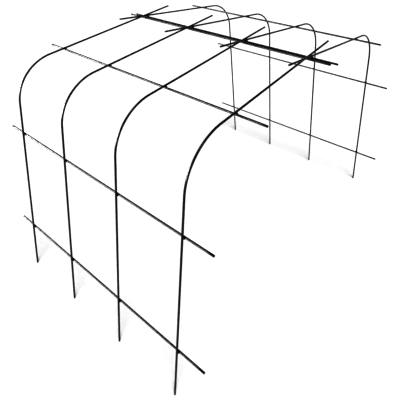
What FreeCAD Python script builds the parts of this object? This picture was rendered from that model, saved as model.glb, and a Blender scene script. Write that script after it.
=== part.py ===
import FreeCAD, Part
import math
import os

# Metal trellis arch: two bent halves of round steel rod that lean on each other along a ridge.
# Each half has hoops (a leg, a bend and a nearly level slope) and straight rails welded across
# them.  X runs across the tunnel, Y along it and Z up.  The origin is on the ground under the
# ridge, at the middle of the length.  The front half stands at -X, the rear half at +X.
# All lengths are in millimetres and all angles in degrees.

# Driving dimensions: the rods
rod_diameter = 10.0
feet_span = 2065.0            # between the leg centre lines at ground level
leg_length = 1090.0           # straight part of a leg, along the leg
leg_lean = 6.2                # inward lean of a leg from upright
bend_radius = 240.0           # centre line of the shoulder bend
slope_rise = 5.7              # rise of the slope above level
tip_overlap = 217.0           # slope beyond the ridge crossing, along the slope

# Driving dimensions: the spacing along the tunnel
hoop_count = 4
hoop_spacing = 400.0
near_overhang = 152.0         # rail beyond the first hoop, towards -Y
far_overhang = 134.0          # rail beyond the last hoop, towards +Y
side_clearance = 0.4          # between a front hoop and the rear hoop beside it

# Driving dimensions: the rails
bottom_rail_up = 275.5        # along the leg, from the ground
middle_rail_up = 900.0        # along the leg, from the ground
shoulder_rail_in = 96.0       # along the slope, from the end of the bend
ridge_rail_short = 14.0       # short of the ridge crossing, along the slope
ridge_near_overhang = 133.0   # ridge rail beyond the first hoop, towards -Y
ridge_far_overhang = 115.0    # ridge rail beyond the last hoop, towards +Y
ridge_stagger = 8.0           # front ridge rail set this far towards +Y, rear one towards -Y

# Driving dimensions: the welds
weld_gap = 0.2                # between a rail and a hoop, filled by the bead
weld_radius = 7.0
ridge_weld_radius = 6.2       # smaller, to leave room for the other half's hoop

# Worked out from the driving dimensions
rod_radius = rod_diameter / 2
lean = math.radians(leg_lean)
rise = math.radians(slope_rise)
rail_offset = rod_diameter + weld_gap
hoop_offset = rod_diameter + side_clearance
hoops_length = (hoop_count - 1) * hoop_spacing

# The first front hoop is placed so that the rails' ends lie evenly about Y = 0
lowest_y = -hoop_offset - max(near_overhang, ridge_near_overhang + ridge_stagger)
highest_y = hoops_length + max(far_overhang, ridge_far_overhang + ridge_stagger)
first_hoop_y = -(lowest_y + highest_y) / 2

# The outline of a half in its own plane: "out" is the distance from the ridge, "up" the height
foot_out = feet_span / 2
leg_dir = (-math.sin(lean), math.cos(lean))
slope_dir = (-math.cos(rise), math.sin(rise))
leg_inward = (-math.cos(lean), -math.sin(lean))
slope_inward = (-math.sin(rise), -math.cos(rise))


def along(start, direction, distance):
    """Point at a distance from a start point in the plane of a hoop."""
    return (start[0] + direction[0] * distance, start[1] + direction[1] * distance)


foot = (foot_out, 0.0)
leg_top = along(foot, leg_dir, leg_length)
bend_centre = along(leg_top, leg_inward, bend_radius)
slope_start = along(bend_centre, slope_inward, -bend_radius)
slope_to_ridge = slope_start[0] / math.cos(rise)
ridge_height = slope_start[1] + slope_to_ridge * math.sin(rise)
tip = along(slope_start, slope_dir, slope_to_ridge + tip_overlap)
bend_middle_angle = (lean + math.pi / 2 - rise) / 2
bend_middle = along(bend_centre, (math.cos(bend_middle_angle), math.sin(bend_middle_angle)), bend_radius)


def point(side, flat, y):
    """Turn a point of the outline into space; side is -1 on the front half and 1 on the rear."""
    return FreeCAD.Vector(side * flat[0], y, flat[1])


def hoop(side, y):
    """One bent rod, from the ground up the leg, round the bend and along the slope to its tip."""
    spare = 2 * rod_diameter
    low = point(side, along(foot, leg_dir, -spare), y)
    leg = Part.LineSegment(low, point(side, leg_top, y)).toShape()
    bend_points = [point(side, flat, y) for flat in (leg_top, bend_middle, slope_start)]
    bend = Part.Arc(*bend_points).toShape()
    slope = Part.LineSegment(point(side, slope_start, y), point(side, tip, y)).toShape()
    path = Part.Wire([leg, bend, slope])
    direction = point(side, leg_dir, 0)
    section = Part.Wire([Part.makeCircle(rod_radius, low, direction)])
    rod = path.makePipeShell([section], True, False)
    return rod.cut(ground_block(side))


def ground_block(side):
    """Block below the ground that trims a foot flat."""
    size = 10 * rod_diameter
    corner = FreeCAD.Vector(side * foot_out - size / 2, -feet_span, -size)
    return Part.makeBox(size, 2 * feet_span, size, corner)


def rail(side, flat, y_low, y_high):
    """One straight rod along Y."""
    length = y_high - y_low
    return Part.makeCylinder(rod_radius, length, point(side, flat, y_low), FreeCAD.Vector(0, 1, 0))


def weld_beads(contact_flat, side, hoops, crossing_rail, radius):
    """The beads that join one rail to its hoops, trimmed to both rods."""
    beads = []
    for each in hoops:
        bead = Part.makeSphere(radius, point(side, contact_flat, each["y"]))
        bead = bead.cut(each["shape"])
        beads.append(bead.cut(crossing_rail))
    return Part.makeCompound(beads)


def rail_places(side):
    """Each rail's name, its point on the hoop's centre line, the side of the hoop it lies on,
    how far it runs beyond the first and the last hoop, and the radius of its welds.  Every rail
    is inside its hoops, so each half's tips lie over the other half's ridge rail."""
    ridge_point = along(slope_start, slope_dir, slope_to_ridge - ridge_rail_short)
    plain = (near_overhang, far_overhang)
    at_ridge = (ridge_near_overhang + side * ridge_stagger, ridge_far_overhang - side * ridge_stagger)
    return [
        ("bottom", along(foot, leg_dir, bottom_rail_up), leg_inward, plain, weld_radius),
        ("middle", along(foot, leg_dir, middle_rail_up), leg_inward, plain, weld_radius),
        ("shoulder", along(slope_start, slope_dir, shoulder_rail_in), slope_inward, plain, weld_radius),
        ("ridge", ridge_point, slope_inward, at_ridge, ridge_weld_radius),
    ]


def build_half(half, side, y_first):
    """All the pieces of one half, as a dictionary from node name to shape."""
    pieces = {}
    hoops = []
    for number in range(hoop_count):
        y = y_first + number * hoop_spacing
        shape = hoop(side, y)
        hoops.append({"y": y, "shape": shape})
        pieces[f"{half}_hoop_{number + 1}"] = shape
    y_last = y_first + hoops_length
    for name, on_hoop, outward, overhang, radius in rail_places(side):
        centre = along(on_hoop, outward, rail_offset)
        contact = along(on_hoop, outward, rail_offset / 2)
        straight = rail(side, centre, y_first - overhang[0], y_last + overhang[1])
        pieces[f"{half}_{name}_rail"] = straight
        pieces[f"{half}_{name}_welds"] = weld_beads(contact, side, hoops, straight, radius)
    return pieces


def main():
    os.makedirs("parts", exist_ok=True)
    pieces = build_half("front", -1, first_hoop_y)
    pieces.update(build_half("rear", 1, first_hoop_y - hoop_offset))
    for name, shape in pieces.items():
        shape.exportStep(f"parts/{name}.step")
    print(f"{len(pieces)} nodes, ridge crossing at {ridge_height:.1f} mm, tips at {tip[1]:.1f} mm")
    print(f"first front hoop at y = {first_hoop_y:.1f} mm, hoops over {hoops_length:.0f} mm")


main()
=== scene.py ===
import math
import random

import bmesh
import bpy
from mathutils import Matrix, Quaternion, Vector


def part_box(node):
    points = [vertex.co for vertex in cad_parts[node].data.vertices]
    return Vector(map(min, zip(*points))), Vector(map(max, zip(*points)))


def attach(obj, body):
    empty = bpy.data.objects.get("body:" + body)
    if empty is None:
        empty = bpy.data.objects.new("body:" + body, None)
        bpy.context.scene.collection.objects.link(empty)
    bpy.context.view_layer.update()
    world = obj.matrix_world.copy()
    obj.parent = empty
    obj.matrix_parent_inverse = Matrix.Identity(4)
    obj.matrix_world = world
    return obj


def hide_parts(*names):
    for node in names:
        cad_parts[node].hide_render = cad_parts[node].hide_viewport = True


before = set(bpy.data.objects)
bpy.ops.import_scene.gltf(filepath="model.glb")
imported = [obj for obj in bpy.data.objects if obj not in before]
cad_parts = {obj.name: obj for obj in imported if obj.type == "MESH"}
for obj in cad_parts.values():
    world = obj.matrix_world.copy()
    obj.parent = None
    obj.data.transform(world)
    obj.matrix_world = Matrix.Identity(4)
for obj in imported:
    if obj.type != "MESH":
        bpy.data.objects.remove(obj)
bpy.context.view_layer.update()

# The arch is two bent halves of round rod.  Every rod and weld of the CAD model is rebuilt here as
# a smooth, finely divided mesh on the same centre line.  Lengths are in metres, angles in degrees.

# Sizes of the rods and of a hoop's outline, as the CAD model has them
ROD_RADIUS = 0.005
LEG_LENGTH = 1.090
LEG_LEAN = 6.2              # inward from upright
BEND_RADIUS = 0.240
SLOPE_RISE = 5.7            # above level
TIP_OVERLAP = 0.217         # slope beyond the ridge
WELD_GAP = 0.0002           # between a rail and a hoop, where the weld fills it

# The pieces: each half's side of the ridge along X, the hoops of a half, and its rails
SIDES = {"front": -1, "rear": 1}
HOOPS = range(1, 1 + sum(node.startswith("front_hoop_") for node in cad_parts))
RAILS = ("bottom", "middle", "shoulder", "ridge")
RAILS_ON_LEGS = ("bottom", "middle")

# How finely the rods are divided
ROUND_STEPS = 32            # round the rod
BEND_STEPS = 40             # along a bend
RUN_STEP = 0.04             # along a straight

# A cut end's edge is rounded off over this length, in three rings.  A ring's distance from the
# end, and how much narrower than the rod it is, are shares of that length.
EDGE = 0.0007
EDGE_RINGS = ((0.0, 1.0), (0.3, 0.3), (1.0, 0.0))

# Weld beads, worked out in millimetres: on each side of the hoop, a row of overlapping drops of
# metal across the rail, and smaller drops at its foot, beside every other drop
MM = 0.001
DROP_RADIUS = 3.5
DROP_STEP = 1.9
DROPS_IN_BEAD = 5
BEAD_OUT = 5.5              # from the hoop's centre line to the bead, along the rail
SMALL_DROP_RADIUS = 2.2     # at the ridge, on the side where the other half's hoop passes
SMALL_BEAD_OUT = 3.6
DROP_SIZES = (0.86, 1.08)   # least and most of the drop radius
DROP_RISE = 0.4             # of a drop's centre off the rail's surface, in radii
STRAY_ALONG_HOOP = 0.3      # the most that a drop is out of its place, either way
STRAY_ALONG_RAIL = 0.35
STRAY_IN_DEPTH = 0.2
RAIL_SHOULDER = 0.9         # of the rail's radius: drops further out lie no lower
TOE_SIZE = 0.62             # of the drop beside it
TOE_OUT = 0.62              # beyond the row, in drop radii
TOE_SPREAD = 0.8            # of the row's own length
TOE_SINK = 0.15             # of a small drop's centre into the rail, in radii
BALL_DIVISIONS = 3          # of the ball that each drop starts as
BEAD_GRID = 0.5             # size of the cells that the drops are merged on
SOFTENING = 0.5             # of the merged skin
SOFTENING_ROUNDS = 3
SEED = 11

# Powder coat on the rods, and a slightly rougher one over the welds
ROD_COLOUR = (0.0045, 0.0045, 0.0048)
ROD_ROUGHNESS = (0.19, 0.31)
ROD_GRAIN = 900.0
WELD_COLOUR = (0.0035, 0.0035, 0.0037)
WELD_ROUGHNESS = (0.34, 0.48)
WELD_GRAIN = 700.0
COAT_GLOSS = {"Specular IOR Level": 0.12, "IOR": 1.5, "Coat Weight": 0.06, "Coat Roughness": 0.15}
PEEL_DETAIL = 3.0
PEEL_STRENGTH = 0.18
PEEL_DEPTH = 0.0002
PATCH_SCALE = 26.0
PATCH_DETAIL = 4.0
GLOSS_BAND = (0.35, 0.65)   # the stretch of the patches' noise that the roughness follows
COLOUR_BAND = (0.35, 0.7)   # and the stretch that the colour follows
DARKER = 0.8
LIGHTER = 1.3

# Floor and backdrop, in greys
FLOOR_REACH = 30.0
FLOOR_GREY = 0.9
FLOOR_ROUGHNESS = 0.9
SKY_LOW = 0.9               # round the horizon and below
SKY_HIGH = 0.16             # overhead
SKY_BAND = (0.08, 0.6)      # the heights between which one turns into the other

# Lights
OVERHEAD_STRENGTH = 3.55
OVERHEAD_SPREAD = 30
OVERHEAD_TOWARDS = Vector((0.3, 0.4, -0.87))
STRIP_PLACE = Vector((-4.75, 3.3, 1.6))
STRIP_TARGET = Vector((-0.9, -0.6, 1.0))
STRIP_SIZE = (5.6, 1.3)
STRIP_POWER = 2800

# Camera
CAMERA_PLACE = Vector((-1.7604, -1.4268, 2.0896))
CAMERA_AZIMUTH = 51.44      # from +Y towards +X
CAMERA_DOWN = 25.63
CAMERA_ROLL = 0.205
CAMERA_LENS = 36.69
CAMERA_SENSOR = 36.0
CAMERA_SHIFT = (-0.05, -0.275)
VIEW_GAMMA = 0.6            # keeps thin dark rods dark against the pale floor

rng = random.Random(SEED)

# The rods and welds are gathered here for the light that shines on nothing else
rods_and_welds = bpy.data.collections.new("rods_and_welds")


# ---------------------------------------------------------------- outline of a half

def along(start, direction, distance):
    """Point at a distance from a start point in the plane of a hoop."""
    return (start[0] + direction[0] * distance, start[1] + direction[1] * distance)


def outline(foot_out):
    """The corners and directions of a hoop: distance out from the ridge, and height."""
    lean = math.radians(LEG_LEAN)
    rise = math.radians(SLOPE_RISE)
    leg_dir = (-math.sin(lean), math.cos(lean))
    slope_dir = (-math.cos(rise), math.sin(rise))
    leg_inward = (-math.cos(lean), -math.sin(lean))
    slope_inward = (-math.sin(rise), -math.cos(rise))
    foot = (foot_out, 0.0)
    leg_top = along(foot, leg_dir, LEG_LENGTH)
    centre = along(leg_top, leg_inward, BEND_RADIUS)
    slope_start = along(centre, slope_inward, -BEND_RADIUS)
    to_ridge = slope_start[0] / math.cos(rise)
    return {
        "foot": foot,
        "leg_top": leg_top,
        "centre": centre,
        "slope_start": slope_start,
        "tip": along(slope_start, slope_dir, to_ridge + TIP_OVERLAP),
        "leg_inward": leg_inward,
        "slope_inward": slope_inward,
        "bend_from": lean,
        "bend_to": math.pi / 2 - rise,
    }


def foot_distance():
    """Half the span between the legs' centre lines, from the frame's own box."""
    low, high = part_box("rear_hoop_1")
    return high.x - ROD_RADIUS / math.cos(math.radians(LEG_LEAN))


shape = outline(foot_distance())


def spread(start, end, step):
    """Evenly spaced points from start up to, but without, end."""
    count = max(2, round(math.dist(start, end) / step))
    return [tuple(a + (b - a) * i / count for a, b in zip(start, end)) for i in range(count)]


def hoop_points():
    """The centre line of a hoop from the ground to the tip, as (out, up) pairs."""
    points = spread(shape["foot"], shape["leg_top"], RUN_STEP)
    turn = shape["bend_to"] - shape["bend_from"]
    for i in range(BEND_STEPS):
        angle = shape["bend_from"] + turn * i / BEND_STEPS
        points.append(along(shape["centre"], (math.cos(angle), math.sin(angle)), BEND_RADIUS))
    points += spread(shape["slope_start"], shape["tip"], RUN_STEP)
    points.append(shape["tip"])
    return points


def point(side, flat, y):
    """Turn a point of the outline into space; side is -1 on the front half and 1 on the rear."""
    return Vector((side * flat[0], y, flat[1]))


def middle_y(node):
    """The middle of a CAD node's box along the tunnel."""
    low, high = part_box(node)
    return (low.y + high.y) / 2


# ---------------------------------------------------------------- rods

def ring(centre, tangent, side_axis, radius):
    """A circle of points round a centre, square to the tangent."""
    across = side_axis.cross(tangent).normalized()
    points = []
    for i in range(ROUND_STEPS):
        angle = 2 * math.pi * i / ROUND_STEPS
        aside = side_axis * (radius * math.cos(angle))
        over = across * (radius * math.sin(angle))
        points.append(centre + aside + over)
    return points


def end_rings(end, inward, tangent, side_axis):
    """The rings of a cut end with a rounded edge, from its face inwards."""
    rings = []
    for distance, narrower in EDGE_RINGS:
        centre = end + inward * (distance * EDGE)
        rings.append(ring(centre, tangent, side_axis, ROD_RADIUS - narrower * EDGE))
    return rings


def levelled(rings, leg_dir):
    """A leaning foot's end rings, slid along the leg so that its cut is flat on the ground."""
    level_rings = []
    for each, (distance, narrower) in zip(rings, EDGE_RINGS):
        height = distance * EDGE
        level_rings.append([p + leg_dir * ((height - p.z) / leg_dir.z) for p in each])
    return level_rings


def swept_rod(path, side_axis, flat_foot=False):
    """Vertices and faces of a round rod along a path, with both cut ends slightly rounded."""
    first = (path[1] - path[0]).normalized()
    last = (path[-1] - path[-2]).normalized()
    rings = end_rings(path[0], first, first, side_axis)
    if flat_foot:
        rings = levelled(rings, first)
    for before, here, after in zip(path, path[1:], path[2:]):
        rings.append(ring(here, (after - before).normalized(), side_axis, ROD_RADIUS))
    rings += reversed(end_rings(path[-1], -last, last, side_axis))
    verts = [p for each in rings for p in each]
    last_row = len(verts) - ROUND_STEPS
    faces = []
    for row in range(0, last_row, ROUND_STEPS):
        for i in range(ROUND_STEPS):
            j = (i + 1) % ROUND_STEPS
            faces.append((row + i, row + j, row + ROUND_STEPS + j, row + ROUND_STEPS + i))
    faces.append(tuple(reversed(range(ROUND_STEPS))))
    faces.append(tuple(range(last_row, len(verts))))
    return verts, faces


def make_object(name, verts, faces, material):
    """A mesh object whose four-sided faces are shaded smooth and the others, its ends, flat."""
    mesh = bpy.data.meshes.new(name)
    mesh.from_pydata([tuple(v) for v in verts], [], faces)
    mesh.update()
    for polygon in mesh.polygons:
        polygon.use_smooth = len(polygon.vertices) == 4
    mesh.materials.append(material)
    made = bpy.data.objects.new(name, mesh)
    bpy.context.scene.collection.objects.link(made)
    return made


def stand_in_for(piece, node):
    """The piece takes the place and the body of a CAD node, whose own part is hidden, and joins the
    rods and welds.
    """
    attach(piece, "front_half" if node.startswith("front") else "rear_half")
    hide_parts(node)
    rods_and_welds.objects.link(piece)


def build_hoop(half, number, material):
    """One bent rod, from the ground to its tip."""
    node = f"{half}_hoop_{number}"
    y = middle_y(node)
    path = [point(SIDES[half], flat, y) for flat in hoop_points()]
    verts, faces = swept_rod(path, Vector((0, SIDES[half], 0)), flat_foot=True)
    stand_in_for(make_object(f"{node}_rod", verts, faces, material), node)


def build_rail(half, name, material):
    """One straight rod along Y, through the middle of its CAD node's box."""
    node = f"{half}_{name}_rail"
    low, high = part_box(node)
    centre = (low + high) / 2
    near_end = Vector((centre.x, low.y, centre.z))
    far_end = Vector((centre.x, high.y, centre.z))
    steps = round((high.y - low.y) / RUN_STEP)
    path = [near_end.lerp(far_end, i / steps) for i in range(steps + 1)]
    verts, faces = swept_rod(path, Vector((1, 0, 0)))
    stand_in_for(make_object(f"{node}_rod", verts, faces, material), node)


# ---------------------------------------------------------------- weld beads

def stray(most):
    """A small random distance either way."""
    return rng.uniform(-most, most)


def add_bead(drops, side, radius, out):
    """Drops of metal in the corner between a hoop and the rail, on one side of the hoop.

    A drop is (place, radius) in millimetres, in the crossing's own frame: X along the hoop, Y along
    the rail and Z from the hoop to the rail, with the origin where the two rods meet."""
    rod = ROD_RADIUS / MM
    for i in range(DROPS_IN_BEAD):
        x = (i - (DROPS_IN_BEAD - 1) / 2) * DROP_STEP + stray(STRAY_ALONG_HOOP)
        rail_surface = rod - math.sqrt(rod ** 2 - min(abs(x), RAIL_SHOULDER * rod) ** 2)
        size = radius * rng.uniform(*DROP_SIZES)
        y = side * (out + stray(STRAY_ALONG_RAIL))
        z = rail_surface - DROP_RISE * size + stray(STRAY_IN_DEPTH)
        drops.append((Vector((x, y, z)), size))
        if i % 2 == 0:
            toe_y = side * (out + TOE_OUT * radius)
            toe = Vector((x * TOE_SPREAD, toe_y, rail_surface + TOE_SINK * size))
            drops.append((toe, TOE_SIZE * size))


def merged(drops):
    """One smooth closed skin round overlapping drops: its vertices and its faces."""
    work = bmesh.new()
    for place, radius in drops:
        ball = bmesh.ops.create_icosphere(work, subdivisions=BALL_DIVISIONS, radius=radius)
        bmesh.ops.translate(work, verts=ball["verts"], vec=place)
    mesh = bpy.data.meshes.new("drops")
    work.to_mesh(mesh)
    work.free()
    holder = bpy.data.objects.new("drops", mesh)
    bpy.context.scene.collection.objects.link(holder)
    skin = holder.modifiers.new("skin", "REMESH")
    skin.mode = "VOXEL"
    skin.voxel_size = BEAD_GRID
    soften = holder.modifiers.new("soften", "SMOOTH")
    soften.factor = SOFTENING
    soften.iterations = SOFTENING_ROUNDS
    graph = bpy.context.evaluated_depsgraph_get()
    final = bpy.data.meshes.new_from_object(holder.evaluated_get(graph))
    verts = [v.co.copy() for v in final.vertices]
    faces = [tuple(p.vertices) for p in final.polygons]
    bpy.data.meshes.remove(final)
    bpy.data.objects.remove(holder)
    bpy.data.meshes.remove(mesh)
    return verts, faces


def crossing(half, at_ridge):
    """The two beads of one crossing.  At the ridge the other half's hoops pass close by, on the -Y
    side of the front hoops and on the +Y side of the rear ones, so the bead there is small."""
    drops = []
    for side in (-1, 1):
        if at_ridge and side == SIDES[half]:
            add_bead(drops, side, SMALL_DROP_RADIUS, SMALL_BEAD_OUT)
        else:
            add_bead(drops, side, DROP_RADIUS, BEAD_OUT)
    return merged(drops)


def build_welds(half, name, material):
    """The beads that join one rail to its hoops, as one piece."""
    node = f"{half}_{name}_welds"
    low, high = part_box(f"{half}_{name}_rail")
    rail_centre = (low + high) / 2
    inward = shape["leg_inward"] if name in RAILS_ON_LEGS else shape["slope_inward"]
    to_rail = point(SIDES[half], inward, 0)
    along_rail = Vector((0, 1, 0))
    along_hoop = along_rail.cross(to_rail)
    verts = []
    faces = []
    for number in HOOPS:
        meet = rail_centre - to_rail * (ROD_RADIUS + WELD_GAP / 2)
        meet.y = middle_y(f"{half}_hoop_{number}")
        bead_verts, bead_faces = crossing(half, name == "ridge")
        first = len(verts)
        for v in bead_verts:
            verts.append(meet + (along_hoop * v.x + along_rail * v.y + to_rail * v.z) * MM)
        faces += [tuple(first + i for i in face) for face in bead_faces]
    stand_in_for(make_object(f"{node}_beads", verts, faces, material), node)


# ---------------------------------------------------------------- materials

def add_noise(tree, place, scale, detail):
    """Noise over a piece's own coordinates."""
    noise = tree.nodes.new("ShaderNodeTexNoise")
    noise.inputs["Scale"].default_value = scale
    noise.inputs["Detail"].default_value = detail
    tree.links.new(place.outputs["Object"], noise.inputs["Vector"])
    return noise.outputs["Fac"]


def add_ramp(tree, band, start, end):
    """A ramp from one colour to another over a band of its input."""
    ramp = tree.nodes.new("ShaderNodeValToRGB")
    for element, position, colour in zip(ramp.color_ramp.elements, band, (start, end)):
        element.position = position
        element.color = (*colour, 1)
    return ramp


def coated_black(name, colour, roughness, grain):
    """Black powder coat: fine orange peel, slow changes of gloss and a clear top layer."""
    material = bpy.data.materials.new(name)
    material.use_nodes = True
    tree = material.node_tree
    shader = tree.nodes["Principled BSDF"]
    for socket, value in COAT_GLOSS.items():
        shader.inputs[socket].default_value = value
    place = tree.nodes.new("ShaderNodeTexCoord")

    peel = add_noise(tree, place, grain, PEEL_DETAIL)
    bump = tree.nodes.new("ShaderNodeBump")
    bump.inputs["Strength"].default_value = PEEL_STRENGTH
    bump.inputs["Distance"].default_value = PEEL_DEPTH
    tree.links.new(peel, bump.inputs["Height"])
    tree.links.new(bump.outputs["Normal"], shader.inputs["Normal"])

    patches = add_noise(tree, place, PATCH_SCALE, PATCH_DETAIL)
    gloss = tree.nodes.new("ShaderNodeMapRange")
    gloss.inputs["From Min"].default_value = GLOSS_BAND[0]
    gloss.inputs["From Max"].default_value = GLOSS_BAND[1]
    gloss.inputs["To Min"].default_value = roughness[0]
    gloss.inputs["To Max"].default_value = roughness[1]
    tree.links.new(patches, gloss.inputs["Value"])
    tree.links.new(gloss.outputs["Result"], shader.inputs["Roughness"])

    tint = add_ramp(tree, COLOUR_BAND, [c * DARKER for c in colour], [c * LIGHTER for c in colour])
    tree.links.new(patches, tint.inputs["Fac"])
    tree.links.new(tint.outputs["Color"], shader.inputs["Base Color"])
    return material


# ---------------------------------------------------------------- stage, light and camera

def build_floor():
    """A plain pale floor, wide enough to fill the view."""
    corners = [(x * FLOOR_REACH, y * FLOOR_REACH, 0) for x, y in ((-1, -1), (1, -1), (1, 1), (-1, 1))]
    material = bpy.data.materials.new("floor_pale")
    material.use_nodes = True
    shader = material.node_tree.nodes["Principled BSDF"]
    shader.inputs["Base Color"].default_value = (FLOOR_GREY, FLOOR_GREY, FLOOR_GREY, 1)
    shader.inputs["Roughness"].default_value = FLOOR_ROUGHNESS
    floor = make_object("floor", corners, [(0, 1, 2, 3)], material)


def build_world():
    """A studio backdrop that is bright round the horizon and dim overhead."""
    world = bpy.data.worlds.new("studio")
    world.use_nodes = True
    tree = world.node_tree
    place = tree.nodes.new("ShaderNodeTexCoord")
    split = tree.nodes.new("ShaderNodeSeparateXYZ")
    ramp = add_ramp(tree, SKY_BAND, [SKY_LOW] * 3, [SKY_HIGH] * 3)
    tree.links.new(place.outputs["Generated"], split.inputs["Vector"])
    tree.links.new(split.outputs["Z"], ramp.inputs["Fac"])
    tree.links.new(ramp.outputs["Color"], tree.nodes["Background"].inputs["Color"])
    bpy.context.scene.world = world


def hang_lamp(data, place, towards):
    """A lamp at a place, shining in a direction."""
    lamp = bpy.data.objects.new(data.name, data)
    lamp.location = place
    lamp.rotation_euler = towards.to_track_quat("-Z", "Y").to_euler()
    bpy.context.scene.collection.objects.link(lamp)
    return lamp


def build_overhead_light():
    """Wide soft light from above and behind the camera."""
    data = bpy.data.lights.new("overhead", "SUN")
    data.energy = OVERHEAD_STRENGTH
    data.angle = math.radians(OVERHEAD_SPREAD)
    hang_lamp(data, Vector((0, 0, 0)), OVERHEAD_TOWARDS)


def build_strip_light():
    """A long softbox to the left, out of the camera's sight, whose reflection runs along the
    nearest bend and the lower side of the rails.  It doesn't light the floor."""
    data = bpy.data.lights.new("strip", "AREA")
    data.shape = "RECTANGLE"
    data.size, data.size_y = STRIP_SIZE
    data.energy = STRIP_POWER
    lamp = hang_lamp(data, STRIP_PLACE, STRIP_TARGET - STRIP_PLACE)
    lamp.visible_camera = False
    lamp.light_linking.receiver_collection = rods_and_welds


def build_camera():
    """The camera, turned by its compass direction, then down, then rolled."""
    data = bpy.data.cameras.new("camera")
    data.sensor_width = CAMERA_SENSOR
    data.lens = CAMERA_LENS
    data.shift_x, data.shift_y = CAMERA_SHIFT
    camera = bpy.data.objects.new("camera", data)
    azimuth = math.radians(CAMERA_AZIMUTH)
    down = math.radians(CAMERA_DOWN)
    level = math.cos(down)
    ahead = Vector((math.sin(azimuth) * level, math.cos(azimuth) * level, -math.sin(down)))
    roll = Quaternion((0, 0, 1), math.radians(CAMERA_ROLL))
    camera.rotation_mode = "QUATERNION"
    camera.rotation_quaternion = ahead.to_track_quat("-Z", "Y") @ roll
    camera.location = CAMERA_PLACE
    bpy.context.scene.collection.objects.link(camera)
    bpy.context.scene.camera = camera


# ---------------------------------------------------------------- the whole scene

build_camera()
build_floor()
build_world()
bpy.context.scene.view_settings.view_transform = "Standard"
bpy.context.scene.view_settings.gamma = VIEW_GAMMA
rod_coat = coated_black("coated_rod", ROD_COLOUR, ROD_ROUGHNESS, ROD_GRAIN)
weld_coat = coated_black("coated_weld", WELD_COLOUR, WELD_ROUGHNESS, WELD_GRAIN)
for half in SIDES:
    for number in HOOPS:
        build_hoop(half, number, rod_coat)
    for name in RAILS:
        build_rail(half, name, rod_coat)
        build_welds(half, name, weld_coat)
build_overhead_light()
build_strip_light()
